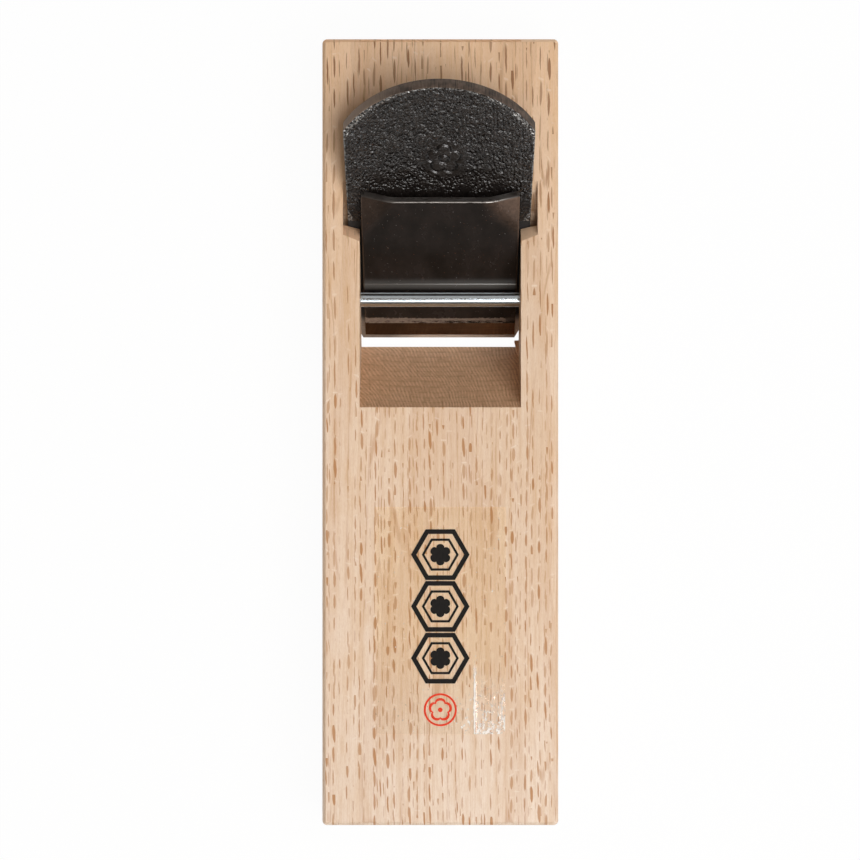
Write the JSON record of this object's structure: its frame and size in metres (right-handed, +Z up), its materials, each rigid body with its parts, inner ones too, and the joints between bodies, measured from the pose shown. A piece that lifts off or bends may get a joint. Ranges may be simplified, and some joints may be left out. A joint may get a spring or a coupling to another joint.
{
  "type": "japanese smoothing plane",
  "caption": "Low wooden block plane with a wide throat, an arched laminated blade in side grooves, a chipbreaker with bent corners and a steel cross pin.",
  "frame": {"origin": "middle of the flat sole, below the middle of the block", "axes": "+Y towards the head end of the block, where the blade stands out, +Z up from the sole, +X to the right when looking along +Y"},
  "size_m": [0.06, 0.2, 0.0509],
  "materials": {
    "oak": "planed, with short tan rays",
    "bright_steel": "bright drawn rod",
    "clear_film": "clear gloss film",
    "forged_iron": "black forge scale, pebbled on the face",
    "ground_steel": "ground",
    "blacked_iron": "satin black",
    "polished_steel": "polished bevel"
  },
  "bodies": {
    "block": {"block": "oak", "retaining_pin": "bright_steel", "label_film": "clear_film"},
    "blade": {"blade_iron_body": "forged_iron", "blade_steel_face": "ground_steel"},
    "chipbreaker": {"chipbreaker_iron_body": "blacked_iron", "chipbreaker_steel_edge": "polished_steel"}
  },
  "joints": [
    {"name": "blade_slide", "type": "slide", "parent": "block", "child": "blade", "axis": [0, 0.7809, 0.6247], "range_m": [-0.003, 0.05]},
    {"name": "chipbreaker_slide", "type": "slide", "parent": "blade", "child": "chipbreaker", "axis": [0, 0.7785, 0.6277], "range_m": [-0.001, 0.05]}
  ]
}
